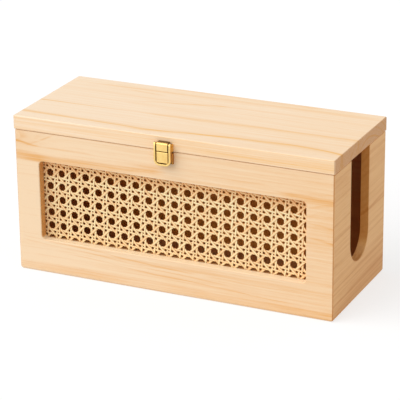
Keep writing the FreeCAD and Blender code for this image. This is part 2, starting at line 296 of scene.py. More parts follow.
# Noise in the wood: waves in a metre along the grain and across it, detail and roughness.
woodNoise = {
    "slow": (5.5, 24.0, 1.5, 0.5), "quick": (26.0, 110.0, 2.0, 0.5), "cloud": (6.0, 30.0, 1.5, 0.5),
    "fibre": (45.0, 1500.0, 3.0, 0.6), "strand": (7.0, 420.0, 2.0, 0.55), "hair": (6.0, 800.0, 1.0, 0.5),
    "dash": (130.0, 2300.0, 0.0, 0.5), "pores": (40.0, 2600.0, 1.0, 0.5),
}
wood = {
    "ringFrom": 0.30, "ringPeak": 0.93,            # where in a ring the late wood starts and ends
    "ringContrast": 2.4, "ringMost": 0.95, "ringLeast": 0.08, "ringFade": 9.0, "quickWander": 0.22,
    "strandLines": 1.5, "hairOnEdge": 1.1, "streaksAtEnd": 2.2, "strandResin": 1.6,
    "cloud": 0.22, "dash": 0.16, "end": 0.16, "edge": 0.30, "all": 0.10,
}


def makeGrainGroup():
    # growth rings round the heart of the log, cut by the board's own place in it
    tree, given, made = newTree(
        "pineGrain", "ShaderNodeTree",
        {
            "Place": "Vector", "Heart Across": 0.0, "Heart Below": 0.04, "Ring Width": 0.005,
            "Wander": 0.004, "Bulge": 0.0, "Streaks": 0.5, "Lines": 0.3, "Resin": 0.0, "Seed": 0.0,
            "End": 0.0, "Edge": 0.0, "Drift": 0.0, "Pale": white, "Amber": white, "Cut": white,
        },
        {"Color": "Color", "Roughness": "Float", "Height": "Float"},
    )
    parts = partsOf(tree, given["Place"])
    seed = given["Seed"]

    def level(name):
        along, across, detail, roughness = woodNoise[name]
        return noiseOf(tree, stretched(tree, parts, along, across, seed), detail, roughness)

    def swing(name):
        return minus(tree, level(name), 0.5)

    wander = timesPlus(tree, swing("quick"), wood["quickWander"], swing("slow"))
    wander = times(tree, given["Wander"], wander)
    across = minus(tree, parts[1], given["Heart Across"])
    below = plus(tree, parts[2], given["Heart Below"])
    squares = timesPlus(tree, across, across, times(tree, below, below))
    radius = plus(tree, calc(tree, "SQRT", squares), plus(tree, wander, given["Bulge"]))
    ring = plus(tree, calc(tree, "DIVIDE", radius, given["Ring Width"]), seed)
    phase = calc(tree, "FRACT", ring)
    number = calc(tree, "FLOOR", ring)

    # each ring has its own strength, which comes and goes along the board
    own = addNode(tree, "ShaderNodeTexWhiteNoise", {}, noise_dimensions="1D")
    tree.links.new(number, own.inputs["W"])
    ownStrength = calc(tree, "POWER", own.outputs["Value"], wood["ringContrast"])
    ownStrength = timesPlus(tree, ownStrength, wood["ringMost"], wood["ringLeast"])
    patches = vectorOf(tree, times(tree, parts[0], wood["ringFade"]), number, seed)
    fading = ease(tree, noiseOf(tree, patches, 1.0), 0.25, 0.7, 0.45, 1.0)
    rising = ease(tree, phase, wood["ringFrom"], wood["ringPeak"])
    falling = ease(tree, phase, wood["ringPeak"], 1.0, 1.0, 0.0)
    late = times(tree, rising, falling, times(tree, ownStrength, fading))

    # fine fibres, soft cloudiness and short resin dashes, and painted light and shade along the board
    fibre = swing("fibre")
    strand = swing("strand")
    dash = ease(tree, level("dash"), 0.74, 0.82)
    lines = times(tree, timesPlus(tree, strand, wood["strandLines"], fibre), given["Lines"])
    hair = times(tree, swing("hair"), given["Edge"])
    lines = timesPlus(tree, hair, wood["hairOnEdge"], lines)
    endMore = timesPlus(tree, given["End"], wood["streaksAtEnd"], 1.0)
    amount = plus(tree, times(tree, late, times(tree, given["Streaks"], endMore)), lines)
    resin = times(tree, given["Resin"], timesPlus(tree, strand, wood["strandResin"], 1.0))
    amount = plus(tree, amount, resin)
    # the Drift share is painted light and shade: paler towards -X, more amber towards +X
    for value, share in ((swing("cloud"), wood["cloud"]), (dash, wood["dash"]),
                         (given["End"], wood["end"]), (given["Edge"], wood["edge"]),
                         (parts[0], given["Drift"])):
        amount = timesPlus(tree, value, share, amount)
    amount = clamped(tree, plus(tree, amount, wood["all"]))
    colour = mixColour(tree, amount, given["Pale"], given["Amber"])

    # cut fibre ends drink in light: speckle and a browner tone
    poreDark = times(tree, given["End"], ease(tree, level("pores"), 0.40, 0.75, 0.50, 0.95))
    height = timesPlus(tree, late, 0.6, timesPlus(tree, fibre, 0.8, strand))
    fill(tree, made, {
        "Color": mixColour(tree, poreDark, colour, given["Cut"]),
        "Roughness": timesPlus(tree, given["End"], 0.12, timesPlus(tree, fibre, 0.25, 0.56)),
        "Height": timesPlus(tree, dash, -0.5, height),
    })
    return tree


resinShape = {"fade": 18 * mm, "wobble": 4 * mm}


def makeResinGroup():
    # one resin-rich streak that follows the grain: a curve across the board, a width and two ends
    tree, given, made = newTree(
        "resinStreak", "ShaderNodeTree",
        {
            "Place": "Vector", "Across": 0.0, "Slope": 0.0, "Bend": 0.0, "Twist": 0.0,
            "Width": 0.001, "Strength": 0.3, "From": -1.0, "To": 1.0,
        },
        {"Amount": "Float"},
    )
    parts = partsOf(tree, given["Place"])
    path = given["Twist"]
    for name in ("Bend", "Slope", "Across"):
        path = timesPlus(tree, parts[0], path, given[name])
    wobble = minus(tree, noiseOf(tree, stretched(tree, parts, 22.0, 12.0)), 0.5)
    off = minus(tree, timesPlus(tree, wobble, resinShape["wobble"], parts[1]), path)
    share = calc(tree, "DIVIDE", off, given["Width"])
    level = calc(tree, "EXPONENT", times(tree, share, share, -1.0))
    start = ease(tree, minus(tree, parts[0], given["From"]), 0.0, resinShape["fade"])
    end = ease(tree, minus(tree, given["To"], parts[0]), 0.0, resinShape["fade"])
    patchy = noiseOf(tree, stretched(tree, parts, 16.0, 40.0, 3.0), 1.0)
    level = times(tree, level, times(tree, start, end), plus(tree, patchy, 0.5))
    tree.links.new(times(tree, level, given["Strength"]), made["Amount"])
    return tree


def makeArrisGroup():
    # where two of a board's outer faces meet, unevenly: a band for sanding wear with a painted highlight, and
    # for painted shade at the corners
    tree, given, made = newTree(
        "arrisBand", "ShaderNodeTree",
        {"Place": "Vector", "Middle": (0, 0, 0), "Half Size": (1, 1, 1), "Width": 0.0016},
        {"Mask": "Float"},
    )
    place, middle, half = [partsOf(tree, given[name]) for name in ("Place", "Middle", "Half Size")]
    gaps = []
    for axis in range(3):
        off = calc(tree, "ABSOLUTE", minus(tree, place[axis], middle[axis]))
        gaps.append(minus(tree, half[axis], off))
    low = calc(tree, "MINIMUM", gaps[0], gaps[1])
    high = calc(tree, "MAXIMUM", gaps[0], gaps[1])
    second = calc(tree, "MAXIMUM", low, calc(tree, "MINIMUM", high, gaps[2]))
    rubbed = noiseOf(tree, given["Place"], 3.0, 0.6, 140.0)
    reach = times(tree, given["Width"], plus(tree, rubbed, 0.5))
    tree.links.new(ease(tree, second, 0.0, reach, 1.0, 0.0), made["Mask"])
    return tree


def makeKnotGroup():
    # a branch that went through the board: the rings swell round it, and its own wood is darker
    tree, given, made = newTree(
        "knotSwell", "ShaderNodeTree",
        {"Place": "Vector", "Along": 0.0, "Across": 0.0, "Long": 0.02, "Wide": 0.01, "Swell": 0.01},
        {"Bulge": "Float", "Mask": "Float"},
    )
    parts = partsOf(tree, given["Place"])
    along = calc(tree, "DIVIDE", minus(tree, parts[0], given["Along"]), given["Long"])
    across = calc(tree, "DIVIDE", minus(tree, parts[1], given["Across"]), given["Wide"])
    squares = timesPlus(tree, along, along, times(tree, across, across))
    share = calc(tree, "EXPONENT", times(tree, squares, -1.0))
    fill(tree, made, {"Bulge": times(tree, share, given["Swell"]), "Mask": share})
    return tree


def makeInsideGroup():
    # 1 on the faces that lie within a box, such as those that look into the case
    tree, given, made = newTree(
        "insideFaces", "ShaderNodeTree",
        {"Place": "Vector", "Half X": 1.0, "Half Y": 1.0, "Low": 0.0, "High": 1.0, "Slack": 0.0002},
        {"Mask": "Float"},
    )
    place = partsOf(tree, given["Place"])
    tests = [
        (calc(tree, "ABSOLUTE", place[0]), given["Half X"]),
        (calc(tree, "ABSOLUTE", place[1]), given["Half Y"]),
        (place[2], given["High"]),
        (given["Low"], place[2]),
    ]
    mask = 1.0
    for small, large in tests:
        mask = times(tree, mask, calc(tree, "LESS_THAN", small, plus(tree, large, given["Slack"])))
    tree.links.new(mask, made["Mask"])
    return tree


grainGroup = makeGrainGroup()
arrisGroup = makeArrisGroup()
knotGroup = makeKnotGroup()
resinGroup = makeResinGroup()
insideGroup = makeInsideGroup()

inside = {
    "Half X": -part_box("left_side_panel")[1].x, "Half Y": -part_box("front_panel")[1].y,
    "Low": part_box("bottom_board")[1].z, "High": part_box("lid_board")[0].z,
}
# sawn faces of the openings, where warm light goes back and forth
reveals = {
    "front_panel": {"Half X": 131.4 * mm, "Half Y": 62.3 * mm, "Low": 32.4 * mm, "High": 108.8 * mm},
    "right_side_panel": {"Half X": 153.9 * mm, "Half Y": 22.8 * mm, "Low": 35 * mm, "High": 140 * mm},
}
pine = {
    "cut": srgb(214, 146, 84),
    "cornerShade": (0.76, 0.56, 0.38, 1),               # painted shade on the chamfered corners
    # painted shade for the faces inside the case: the back board lighter to the left and darker towards its
    # right end
    "shadeBackNear": (0.88, 0.50, 0.12, 1), "shadeBackFar": (0.42, 0.19, 0.05, 1),
    "inside": (0.72, 0.50, 0.27, 1),
    "darkFrom": 70 * mm, "darkTo": 120 * mm,       # where along the back board the dark part starts
    "reveal": (1.0, 0.90, 0.58, 1), "sill": srgb(251, 229, 194), "sillShare": 0.9,
    "arris": 1.5 * mm, "arrisWearAndHighlight": 0.30, "knotShare": 0.30,
    "polish": 0.35, "bump": 0.35, "bumpDepth": 0.12 * mm,
}
# drift: how fast the painted light and shade change along the board, paler towards -X and more amber towards
# +X
plainBoard = {"drift": 0.0, "knots": (), "resin": ()}

# The boards, each with its own cut of the log. The axes are the object's axes
# along the grain, across the board's face and through it. A knot is given by its place
# along and across, its length, width and swell, and a resin streak by its curve across the
# board (place, slope, bend and twist), width, strength and its two ends.
# A board's arris colour is partly sanding wear and partly a painted highlight on its long edges.
boards = {
    "lid_board": {
        "axes": (0, 1, 2), "heartAcross": 0.018, "heartBelow": -0.098, "ringWidth": 0.0036,
        "wander": 0.0045, "streaks": 0.26, "lines": 0.42, "seed": 3.1, "drift": 0.70,
        "pale": srgb(252, 227, 197), "amber": srgb(243, 188, 112), "arris": srgb(253, 230, 200),
        "resin": (
            ((-0.0493, 0.1105, 0.3154, -6.055), 0.0014, 0.56, -0.039, 0.2),
            ((-0.0493, 0.1105, 0.3154, -6.055), 0.0042, 0.2, -0.039, 0.2),
            ((-0.0533, -0.042), 0.0016, 0.34, -0.2, -0.021), ((-0.0533, -0.042), 0.004, 0.18, -0.2, -0.021),
            ((-0.0108, 0.0178), 0.0012, 0.42, -0.2, 0.2), ((-0.0108, 0.0178), 0.004, 0.16, -0.05, 0.2),
            ((0.0293, 0.1865), 0.0014, 0.4, -0.075, 0.02), ((0.0351, -0.0866), 0.0015, 0.36, -0.1, -0.045),
            ((0.05, 0.005), 0.003, 0.2, -0.13, 0.16), ((0.0605,), 0.0034, 0.22, -0.06, 0.1),
            ((0.019, -0.02), 0.001, 0.2, 0.01, 0.2), ((-0.028, 0.02), 0.001, 0.18, 0.03, 0.2),
        ),
    },
    "front_panel": {
        "axes": (0, 2, 1), "heartAcross": 0.060, "heartBelow": 0.150, "ringWidth": 0.0040,
        "wander": 0.0060, "streaks": 0.46, "lines": 0.56, "seed": 7.4, "drift": 1.20,
        "pale": srgb(248, 218, 181), "amber": srgb(234, 172, 98), "arris": srgb(248, 216, 174),
        "knots": ((-0.160, 0.127, 0.030, 0.011, 0.012), (0.170, 0.090, 0.034, 0.022, -0.013)),
        "resin": (
            ((0.11675, 0.0737, 0.325), 0.0034, 0.58, -0.2, 0.0), ((0.1105,), 0.0038, 0.3, -0.2, -0.115),
            ((0.1094, -0.1), 0.0009, 0.95, -0.2, -0.126), ((0.19, 0.476), 0.0009, 0.42, -0.15, -0.108),
            ((0.1135, -0.02), 0.0026, 0.42, 0.1, 0.2), ((0.1215, -0.01), 0.001, 0.3, -0.2, -0.07),
            ((0.1185, -0.01), 0.0013, 0.26, 0.02, 0.1), ((0.004,), 0.005, 0.3, -0.2, 0.2),
            ((0.025, -0.06), 0.0007, 0.34, -0.16, 0.03), ((0.0215, -0.06), 0.0006, 0.28, -0.16, 0.06),
            ((0.017, -0.05), 0.0006, 0.3, -0.12, 0.12), ((0.024, -0.012), 0.0008, 0.22, 0.03, 0.2),
            ((0.093, -0.13), 0.0012, 0.4, 0.125, 0.2), ((0.102, -0.1), 0.001, 0.3, 0.12, 0.2),
        ),
    },
    "back_panel": {
        "axes": (0, 2, 1), "heartAcross": 0.045, "heartBelow": -0.020, "ringWidth": 0.0050,
        "wander": 0.0070, "streaks": 0.50, "lines": 0.36, "seed": 1.7, "drift": 0.3,
        "pale": srgb(249, 220, 184), "amber": srgb(232, 170, 104), "arris": srgb(250, 222, 186),
        "knots": ((0.070, 0.040, 0.016, 0.007, 0.010),),
        "resin": (
            ((0.03, 0.02), 0.003, 0.25, -0.12, 0.09), ((0.098, 0.01), 0.0012, 0.35, -0.2, 0.2),
        ),
    },
    "left_side_panel": {
        "axes": (1, 2, 0), "heartAcross": 0.150, "heartBelow": 0.210, "ringWidth": 0.0048,
        "wander": 0.0050, "streaks": 0.42, "lines": 0.36, "seed": 5.3,
        "pale": srgb(250, 214, 168), "amber": srgb(228, 162, 96), "arris": srgb(250, 218, 176),
        "resin": (
            ((0.118, 0.03), 0.0015, 0.3, -0.2, 0.2), ((0.044, -0.02), 0.002, 0.22, -0.03, 0.2),
        ),
    },
    "right_side_panel": {
        "axes": (1, 2, 0), "heartAcross": 0.190, "heartBelow": -0.060, "ringWidth": 0.0052,
        "wander": 0.0055, "streaks": 0.42, "lines": 0.50, "seed": 9.2,
        "pale": srgb(251, 197, 133), "amber": srgb(214, 138, 66), "arris": srgb(244, 190, 126),
        "resin": (
            ((0.1275, 0.06), 0.0012, 0.34, -0.2, -0.02), ((0.005,), 0.022, 0.26, -0.2, 0.2),
            ((0.03, 0.02), 0.0012, 0.26, -0.2, 0.2), ((0.015, 0.02), 0.0014, 0.26, -0.2, 0.2),
            ((0.075, 0.05), 0.001, 0.26, 0.01, 0.2), ((0.052, 0.03), 0.001, 0.2, -0.2, 0.2),
        ),
    },
    "bottom_board": {
        "axes": (0, 1, 2), "heartAcross": 0.020, "heartBelow": 0.070, "ringWidth": 0.0055,
        "wander": 0.0060, "streaks": 0.46, "lines": 0.36, "seed": 4.4,
        "pale": srgb(246, 214, 178), "amber": srgb(222, 160, 98), "arris": srgb(246, 214, 178),
        "resin": (((-0.02,), 0.004, 0.2, -0.2, 0.2),),
    },
    "cane_batten_top": {
        "axes": (0, 2, 1), "heartAcross": 0.100, "heartBelow": 0.120, "ringWidth": 0.0035,
        "wander": 0.0030, "streaks": 0.45, "lines": 0.40, "seed": 2.2,
        "pale": srgb(246, 212, 174), "amber": srgb(216, 152, 92), "arris": srgb(246, 212, 174),
    },
}
boards["cane_batten_bottom"] = {**boards["cane_batten_top"], "seed": 6.6}
boards["cane_batten_left"] = {**boards["cane_batten_top"], "axes": (2, 0, 1), "seed": 8.1}
boards["cane_batten_right"] = {**boards["cane_batten_top"], "axes": (2, 0, 1), "seed": 0.7}


def streaksOf(tree, place, board):
    # what knots and resin streaks add: swelling rings, darker knot wood and resin
    bulge = 0.0
    knotTone = 0.0
    for row in board["knots"]:
        values = dict(zip(("Along", "Across", "Long", "Wide", "Swell"), row))
        knot = useGroup(tree, knotGroup, Place=place, **values)
        bulge = plus(tree, knot["Bulge"], bulge)
        knotTone = plus(tree, knot["Mask"], knotTone)
    resin = 0.0
    for curve, *row in board["resin"]:
        path = dict(zip(("Across", "Slope", "Bend", "Twist"), curve))
        values = dict(zip(("Width", "Strength", "From", "To"), row))
        streak = useGroup(tree, resinGroup, Place=place, **path, **values)
        resin = plus(tree, streak["Amount"], resin)
    return bulge, knotTone, resin


def paintedLightAndShade(tree, name, colour, here, facing, wholePlace):
    # painted shade makes the inside darker; the sawn faces of the openings are warmer and darker with painted
    # shade and bounce light
    if name in reveals:
        sawn = useGroup(tree, insideGroup, Place=wholePlace, **reveals[name])["Mask"]
        upright = ease(tree, facing[2], 0.35, 0.9, 1.0, 0.15)
        colour = mixColour(tree, times(tree, sawn, upright), colour, pine["reveal"], "MULTIPLY")
    # painted light: the sill's upward face in the window opening is made paler
    if name == "front_panel":
        lit = ease(tree, facing[2], 0.35, 0.9, 0.0, pine["sillShare"])
        colour = mixColour(tree, times(tree, sawn, lit), colour, pine["sill"])
    # painted shade: every face inside the case is darkened
    insideShade = pine["inside"]
    if name == "back_panel":
        farEnd = ease(tree, here[0], pine["darkFrom"], pine["darkTo"])
        insideShade = mixColour(tree, farEnd, pine["shadeBackNear"], pine["shadeBackFar"])
    # the painted shade covers the whole underside of the lid
    reach = {**inside, "Half X": 1.0, "Half Y": 1.0} if name == "lid_board" else inside
    inner = useGroup(tree, insideGroup, Place=wholePlace, **reach)
    return mixColour(tree, inner["Mask"], colour, insideShade, "MULTIPLY")


def pineFor(name, board):
    material, tree, shader = newMaterial("pine_" + name)
    spot = tree.nodes.new("ShaderNodeTexCoord").outputs
    here = partsOf(tree, spot["Object"])
    facing = partsOf(tree, spot["Normal"])
    place = vectorOf(tree, *[here[axis] for axis in board["axes"]])
    along = calc(tree, "ABSOLUTE", facing[board["axes"][0]])
    across = calc(tree, "ABSOLUTE", facing[board["axes"][1]])
    bulge, knotTone, resin = streaksOf(tree, place, board)
    grain = useGroup(tree, grainGroup, **{
        "Place": place, "Heart Across": board["heartAcross"], "Heart Below": board["heartBelow"],
        "Ring Width": board["ringWidth"], "Wander": board["wander"], "Bulge": bulge,
        "Streaks": board["streaks"], "Lines": board["lines"], "Seed": board["seed"], "Resin": resin,
        "Pale": board["pale"], "Amber": board["amber"], "Cut": pine["cut"], "Drift": board["drift"],
        "End": ease(tree, along, 0.75, 0.95), "Edge": ease(tree, across, 0.75, 0.95),
    })
    colour = mixColour(tree, times(tree, knotTone, pine["knotShare"]), grain["Color"], board["amber"])

    low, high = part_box(name)
    middle = (low + high) / 2
    half = (high - low) / 2
    edge = useGroup(tree, arrisGroup, **{
        "Place": spot["Object"], "Middle": middle, "Half Size": half, "Width": pine["arris"],
    })["Mask"]
    # the long edges get sanding wear and a painted highlight
    off = calc(tree, "ABSOLUTE", minus(tree, here[0], middle.x))
    longEdge = ease(tree, minus(tree, half.x, off), 0.8 * mm, 2.5 * mm)
    wearAndHighlight = times(tree, edge, times(tree, longEdge, pine["arrisWearAndHighlight"]))
    colour = mixColour(tree, wearAndHighlight, colour, board["arris"])
    # painted shade darkens the chamfers at the corners, where faces meet the end grain
    cornerShade = times(tree, ease(tree, along, 0.10, 0.35), ease(tree, along, 0.75, 0.97, 1.0, 0.0))
    colour = mixColour(tree, times(tree, cornerShade, edge), colour, pine["cornerShade"], "MULTIPLY")

    fill(tree, shader, {
        "Base Color": paintedLightAndShade(tree, name, colour, here, facing, spot["Object"]),
        "Roughness": timesPlus(tree, edge, -0.08, grain["Roughness"]), "Specular IOR Level": pine["polish"],
        "Normal": bumpOf(tree, grain["Height"], pine["bump"], pine["bumpDepth"]),
    })
    return material


for boardName, board in boards.items():
    dress(nodes[boardName], pineFor(boardName, {**plainBoard, **board}))
print("boards finished")


low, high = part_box("cane_webbing")
cane = {
    "gapX": 0.3 * mm, "gapZ": 70.25 * mm,          # middle of one large gap
    "sheet": {
        "Left": low.x, "Right": high.x, "Low": low.z, "High": high.z, "Middle": (low.y + high.y) / 2,
        "Pitch X": 12.6 * mm, "Pitch Z": 12.8 * mm,
        "Spread": 1.90 * mm,                       # strand of a pair from the pair's middle
        "Pinch": 0.28 * mm,                        # how far a pair draws together where it crosses
        "Tight": 0.27 * mm,                        # and how much more right at the crossing
        "Thickness": 0.30 * mm, "Step": 0.9 * mm, "Seed": 5,
        "Drift Left": 1.75 * mm, "Drift Right": 0.95 * mm,     # how far columns sit off even places
    },
    "straight": {"Width": 1.76 * mm, "Lift": 0.17 * mm, "Shade": 0.0},
    "slanting": {"Width": 2.24 * mm, "Lift": 0.22 * mm, "Shade": 0.35},        # a little darker
    "pulledLeft": (-132 * mm, -96 * mm), "pulledRight": (-35 * mm, 75 * mm),   # where the drift changes
    "pale": srgb(255, 239, 188), "amber": srgb(238, 160, 80),
    # painted shade: the cane grows amber towards the top, under the window's header
    "headerShadeFrom": 90 * mm, "headerShadeTo": 110 * mm,
    # rates along and across a strand and roughness, then what each mark adds to the amber; the edge share is
    # painted shade on the strands' rounded sides
    "fibre": (60.0, 4.0, 0.6), "blotch": (26.0, 0.6, 0.5), "lane": 7.31,
    "shares": {"tone": 0.30, "blotch": 0.7, "fibre": 0.55, "edge": 0.72, "headerShade": 0.45},
    "polish": 0.5, "bump": 0.4, "bumpDepth": 0.1 * mm,
}


def strandTree(name, lay, wave):
    # strands start as unit lines, X their share of the way and Y their number
    tree, given, made = newTree(
        name, "GeometryNodeTree",
        {
            **cane["sheet"], **cane["straight"], "Strands": 10, "First": 0.0, "Pair X": 0.0, "Pair Z": 0.0,
            "Finish": "Material",
        },
        {"Geometry": "Geometry"},
    )

    def add(kind, values, **settings):
        return addNode(tree, "GeometryNode" + kind, values, **settings).outputs[0]

    def move(geometry, offset):
        return add("SetPosition", {"Geometry": geometry, "Offset": offset})

    def store(geometry, label, value):
        values = {"Geometry": geometry, "Name": label, "Value": value}
        return add("StoreNamedAttribute", values, data_type="FLOAT", domain="POINT")

    place = partsOf(tree, add("InputPosition", {}))
    starts = add("MeshLine", {"Count": given["Strands"], "Offset": (0, 1, 0)}, mode="OFFSET")
    unit = add("CurvePrimitiveLine", {"Start": (0, 0, 0), "End": (1, 0, 0)})
    fine = add("ResampleCurve", {"Curve": unit, "Count": 8})
    many = add("InstanceOnPoints", {"Points": starts, "Instance": fine})
    lines = store(add("RealizeInstances", {"Geometry": many}), "strandNumber", place[1])
    x, z, reach = lay(tree, given, place[0], place[1])
    short = calc(tree, "LESS_THAN", reach, 0.3)
    lines = add("DeleteGeometry", {"Geometry": lines, "Selection": short}, domain="POINT")
    flatPlace = vectorOf(tree, x, given["Middle"], z)
    laid = add("SetPosition", {"Geometry": lines, "Position": flatPlace})
    even = add("ResampleCurve", {"Curve": laid, "Length": given["Step"]}, mode="LENGTH")
    woven = move(move(even, wave(tree, given, place)), driftOf(tree, given, place))
    along = addNode(tree, "GeometryNodeSplineParameter", {}).outputs["Length"]
    strands = store(woven, "alongStrand", along)
    strands = add("SetCurveNormal", {"Curve": strands, "Normal": (0, -1, 0)}, mode="FREE")

    # an eight-sided section, a little over half a strand so that its flats reach the sides
    ring = add("CurvePrimitiveCircle", {"Resolution": 8, "Radius": 1.0}, mode="RADIUS")
    turn = add("Transform", {"Geometry": ring, "Rotation": (0, 0, math.radians(22.5))})
    over = 0.54
    size = vectorOf(tree, times(tree, given["Thickness"], over), times(tree, given["Width"], over), 1.0)
    section = add("Transform", {"Geometry": turn, "Scale": size})
    across = calc(tree, "DIVIDE", place[1], times(tree, given["Width"], 0.5))
    section = store(section, "acrossStrand", across)
    tubes = add("CurveToMesh", {"Curve": strands, "Profile Curve": section, "Fill Caps": True})
    smooth = add("SetShadeSmooth", {"Geometry": tubes, "Shade Smooth": True})
    number = add("InputNamedAttribute", {"Name": "strandNumber"}, data_type="FLOAT")
    draw = {"ID": calc(tree, "ROUND", number), "Seed": given["Seed"]}
    chance = addNode(tree, "FunctionNodeRandomValue", draw, data_type="FLOAT").outputs[1]
    toned = store(smooth, "strandTone", plus(tree, chance, given["Shade"]))
    whole = add("RealizeInstances", {"Geometry": toned})
    finished = add("SetMaterial", {"Geometry": whole, "Material": given["Finish"]})
    tree.links.new(finished, made["Geometry"])
    return tree


def driftOf(tree, given, place):
    # the weave is pulled a little to the right at both ends, and not at all at its clamped edges
    near = ease(tree, place[0], *cane["pulledLeft"], 1.0, 0.0)
    far = ease(tree, place[0], *cane["pulledRight"], -0.32, 0.68)
    drift = timesPlus(tree, near, given["Drift Left"], times(tree, far, given["Drift Right"]))
    free = [ease(tree, minus(tree, *ends), 0.5 * mm, 6 * mm)
            for ends in ((place[0], given["Left"]), (given["Right"], place[0]))]
    return vectorOf(tree, times(tree, drift, times(tree, *free)), 0.0, 0.0)


def pairLay(across, start, end):
    # both strands of each pair, on a grid across one axis and from edge to edge along the other
    def lay(tree, given, share, number):
        pair = calc(tree, "FLOOR", calc(tree, "DIVIDE", number, 2.0))
        side = timesPlus(tree, calc(tree, "FLOORED_MODULO", number, 2.0), 2.0, -1.0)
        own = timesPlus(tree, pair, given["Pitch " + across], given["Pair " + across])
        own = timesPlus(tree, side, given["Spread"], own)
        run = timesPlus(tree, share, minus(tree, given[end], given[start]), given[start])
        return (own, run, 1.0) if across == "X" else (run, own, 1.0)
    return lay


def pitchesTo(tree, given, value, axis):
    # how many pitches a place on this axis lies beyond the first pair
    return calc(tree, "DIVIDE", minus(tree, value, given["Pair " + axis]), given["Pitch " + axis])


def turnsAt(tree, given, place, axis):
    # one whole turn from one pair across this axis to the next
    return times(tree, pitchesTo(tree, given, place["XYZ".index(axis)], axis), math.tau)


def pairWave(across, crossed, side):
    # plain weave of a pair: each strand dips under one neighbour and rises over the next
    def wave(tree, given, place):
        own = turnsAt(tree, given, place, across)
        turns = turnsAt(tree, given, place, crossed)
        outward = calc(tree, "SIGN", calc(tree, "SINE", own))
        near = calc(tree, "SQRT", timesPlus(tree, calc(tree, "COSINE", turns), 0.4999, 0.5))
        shape = times(tree, calc(tree, "SINE", turns), near)
        shape = times(tree, shape, times(tree, outward, side))
        lift = times(tree, shape, times(tree, given["Lift"], 1.3))
        tight = times(tree, calc(tree, "POWER", near, 6.0), given["Tight"])
        pull = timesPlus(tree, calc(tree, "COSINE", turns), given["Pinch"], tight)
        inward = times(tree, pull, outward, -1.0)
        return vectorOf(tree, inward, lift, 0.0) if across == "X" else vectorOf(tree, 0.0, lift, inward)
    return wave


def slantLay(slope):
    # slanting strands pass midway between the crossings, from edge to edge of the sheet
    def lay(tree, given, share, number):
        left, right = [pitchesTo(tree, given, given[edge], "X") for edge in ("Left", "Right")]
        low, high = [pitchesTo(tree, given, given[edge], "Z") for edge in ("Low", "High")]
        line = plus(tree, plus(tree, number, given["First"]), 0.5)
        atLow = times(tree, minus(tree, low, line), slope)
        atHigh = times(tree, minus(tree, high, line), slope)
        start = calc(tree, "MAXIMUM", left, calc(tree, "MINIMUM", atLow, atHigh))
        end = calc(tree, "MINIMUM", right, calc(tree, "MAXIMUM", atLow, atHigh))
        reach = minus(tree, end, start)
        u = timesPlus(tree, share, reach, start)
        w = timesPlus(tree, u, slope, line)
        x = timesPlus(tree, u, given["Pitch X"], given["Pair X"])
        z = timesPlus(tree, w, given["Pitch Z"], given["Pair Z"])
        return x, z, reach
    return lay


def slantWave(front):
    # over the uprights and under the levels, or the other way round
    def wave(tree, given, place):
        swing = calc(tree, "COSINE", turnsAt(tree, given, place, "X"))
        square = calc(tree, "TANH", times(tree, swing, 1.9))
        lift = times(tree, square, times(tree, given["Lift"], front * 1.045))
        return vectorOf(tree, 0.0, lift, 0.0)
    return wave


def makeCaneFinish():
    material, tree, shader = newMaterial("caneSkin")

    def read(name):
        return addNode(tree, "ShaderNodeAttribute", {}, attribute_name=name).outputs["Fac"]

    def swing(name):
        alongRate, acrossRate, roughness = cane[name]
        skin = vectorOf(tree, times(tree, along, alongRate), times(tree, across, acrossRate), lane)
        return minus(tree, noiseOf(tree, skin, 2.0, roughness), 0.5)

    shares = cane["shares"]
    across = read("acrossStrand")
    along = read("alongStrand")
    lane = times(tree, read("strandNumber"), cane["lane"])
    fibre = swing("fibre")
    # painted shade: the strand grows amber towards its sides, where its round turns from the light
    edge = ease(tree, calc(tree, "ABSOLUTE", across), 0.50, 1.0)
    height = partsOf(tree, tree.nodes.new("ShaderNodeTexCoord").outputs["Object"])[2]
    # painted shade under the window's header, growing towards the top
    headerShade = ease(tree, height, cane["headerShadeFrom"], cane["headerShadeTo"])
    amount = timesPlus(tree, swing("blotch"), shares["blotch"], 0.02)
    for value, share in ((read("strandTone"), "tone"), (fibre, "fibre"), (edge, "edge"), (headerShade, "headerShade")):
        amount = timesPlus(tree, value, shares[share], amount)
    colour = mixColour(tree, clamped(tree, amount), cane["pale"], cane["amber"])
    fill(tree, shader, {
        "Base Color": colour, "Roughness": timesPlus(tree, fibre, 0.25, 0.42),
        "Specular IOR Level": cane["polish"], "Normal": bumpOf(tree, fibre, cane["bump"], cane["bumpDepth"]),
    })
    return material


def firstPair(gap, start, pitch):
    # the last pair outside the sheet, half a pitch from a gap
    return gap + pitch * (math.floor((start - gap) / pitch) + 0.5)


def weave(name, lay, wave, count, first, strand, finish):
    sheet = cane["sheet"]
    piece = newPiece(name, bpy.data.meshes.new(name))
    modifier = piece.modifiers.new("weave", "NODES")
    modifier.node_group = strandTree(name, lay, wave)
    fillInputs(modifier, {
        **sheet, **strand, "Strands": count, "First": first, "Finish": finish,
        "Pair X": firstPair(cane["gapX"], sheet["Left"], sheet["Pitch X"]),
        "Pair Z": firstPair(cane["gapZ"], sheet["Low"], sheet["Pitch Z"]),
    })
    settle(piece)
    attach(piece, "case")
    return piece


